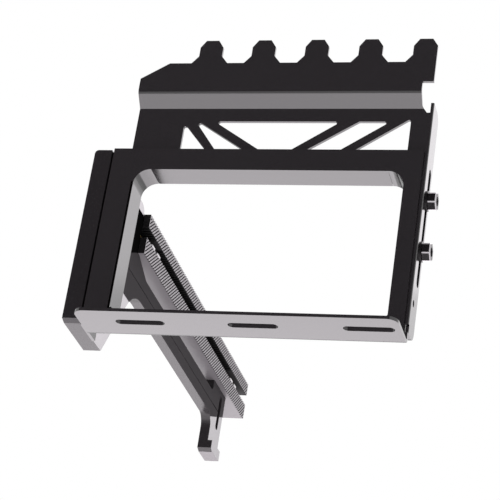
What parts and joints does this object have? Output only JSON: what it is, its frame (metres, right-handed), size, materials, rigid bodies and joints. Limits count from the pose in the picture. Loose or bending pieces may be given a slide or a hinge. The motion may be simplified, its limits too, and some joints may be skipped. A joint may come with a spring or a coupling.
{
  "type": "vertical graphics card bracket",
  "caption": "Folded metal slot bracket with tongues, a card window in a raised frame, and a side arm that carries a long socket for a card stood on edge.",
  "frame": {"origin": "centre of the screw tab's middle slot, on the tab's underside", "axes": "+Z from the screw tab to the tongues, +Y into the case along the arm, +X towards the flange with the card screws"},
  "size_m": [0.1342, 0.227, 0.12],
  "materials": {
    "black_sheet": "satin black powder coat",
    "arm_black": "satin black",
    "socket_plastic": "satin moulded",
    "contact_metal": "plated",
    "clip_plastic": "smooth",
    "board": "solder mask",
    "zinc_steel": "zinc plated",
    "black_steel": "black oxide"
  },
  "bodies": {
    "root": {"slot_plate": "black_sheet", "window_frame": "black_sheet", "frame_nuts": "zinc_steel", "support_arm": "arm_black", "arm_screws": "zinc_steel", "socket_body": "socket_plastic", "socket_contacts": "contact_metal", "guide_clips": "clip_plastic", "riser_board": "board", "board_spacers": "zinc_steel", "board_screws": "zinc_steel", "card_screws": "black_steel", "card_washers": "black_steel", "card_nuts": "zinc_steel"}
  },
  "joints": []
}
